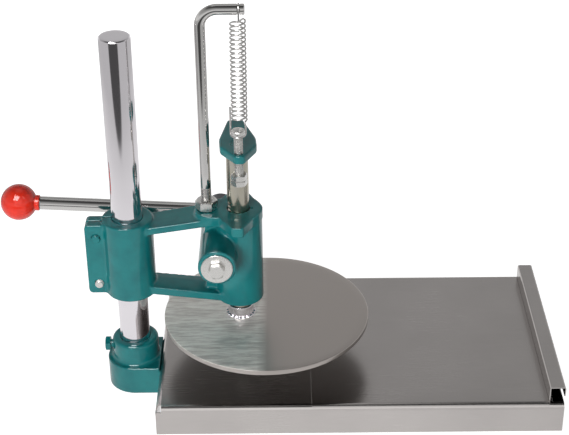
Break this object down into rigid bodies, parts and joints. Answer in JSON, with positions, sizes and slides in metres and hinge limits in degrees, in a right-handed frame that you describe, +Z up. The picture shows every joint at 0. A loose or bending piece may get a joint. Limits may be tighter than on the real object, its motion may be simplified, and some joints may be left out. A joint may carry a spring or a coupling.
{
  "type": "manual dough press",
  "caption": "Lever-operated arbor press on a round column, with an eccentric round plate that flattens dough over a shallow steel tray.",
  "frame": {"origin": "on the column's axis at the level of the table, in the middle of the base casting's round foot", "axes": "+X from the column towards the tray's railed end, +Y away from the user towards the lever's side, +Z up along the column"},
  "size_m": [0.6532, 0.2838, 0.4817],
  "materials": {
    "base_enamel": "glossy teal enamel on a sand casting",
    "set_screw_enamel": "overpainted teal with the casting",
    "tray_steel": "satin stainless sheet",
    "tray_screw_zinc": "zinc plated",
    "column_chrome": "polished hard chrome",
    "head_enamel": "glossy teal enamel on a sand casting",
    "clamp_bolt_zinc": "zinc plated, the upper end overpainted",
    "hanger_chrome": "polished chrome",
    "hanger_nut_zinc": "zinc plated",
    "spring_zinc": "bright zinc plated wire",
    "ram_steel": "ground steel with a faint yellow passivation",
    "cap_enamel": "glossy teal enamel",
    "cap_screw_enamel": "filled and overpainted teal",
    "stop_screw_zinc": "zinc plated",
    "stop_nut_zinc": "zinc plated",
    "disc_steel": "stainless with a fine straight hairline",
    "collar_chrome": "polished steel",
    "disc_screw_zinc": "zinc plated",
    "pinion_steel": "machined steel, oiled",
    "washer_zinc": "zinc plated",
    "pinion_bolt_zinc": "zinc plated",
    "hub_steel": "dark polished steel",
    "hub_screw_zinc": "plain steel",
    "lever_chrome": "polished chrome",
    "knob_plastic": "glossy red moulded ball"
  },
  "bodies": {
    "base": {"base_casting": "base_enamel", "column_set_screw": "set_screw_enamel", "tray": "tray_steel", "tray_screw_1": "tray_screw_zinc", "tray_screw_2": "tray_screw_zinc", "tray_screw_3": "tray_screw_zinc", "tray_screw_4": "tray_screw_zinc"},
    "column": {"column": "column_chrome"},
    "head": {"head_casting": "head_enamel", "clamp_bolt_upper": "clamp_bolt_zinc", "clamp_bolt_lower": "clamp_bolt_zinc", "hanger_rod": "hanger_chrome", "hanger_nut": "hanger_nut_zinc", "return_spring": "spring_zinc"},
    "ram": {"ram": "ram_steel", "ram_cap": "cap_enamel", "cap_screw": "cap_screw_enamel", "stop_screw": "stop_screw_zinc", "stop_nut_upper": "stop_nut_zinc", "stop_nut_lower": "stop_nut_zinc", "press_disc": "disc_steel", "disc_collar": "collar_chrome", "disc_screw": "disc_screw_zinc"},
    "lever": {"pinion_shaft": "pinion_steel", "pinion_washer": "washer_zinc", "pinion_bolt": "pinion_bolt_zinc", "lever_hub": "hub_steel", "hub_set_screw": "hub_screw_zinc", "lever_rod": "lever_chrome", "lever_knob": "knob_plastic"}
  },
  "joints": [
    {"name": "column_swivel", "type": "hinge", "parent": "base", "child": "column", "pos_m": [0, 0, 0.005], "axis": [0, 0, 1], "range_deg": [-45, 90]},
    {"name": "head_height", "type": "slide", "parent": "column", "child": "head", "axis": [0, 0, 1], "range_m": [-0.0083, 0.2]},
    {"name": "ram_slide", "type": "slide", "parent": "head", "child": "ram", "axis": [0, 0, 1], "range_m": [-0.041, 0.01], "stiffness_N_per_m": 1800, "deforming": ["return_spring"]},
    {"name": "lever_turn", "type": "hinge", "parent": "head", "child": "lever", "pos_m": [0.1032, 0, 0.1915], "axis": [0, 1, 0], "range_deg": [-43, 175]}
  ],
  "couplings": [
    {"joint": "lever_turn", "follows": "ram_slide", "rad_per_m": -74.074}
  ]
}
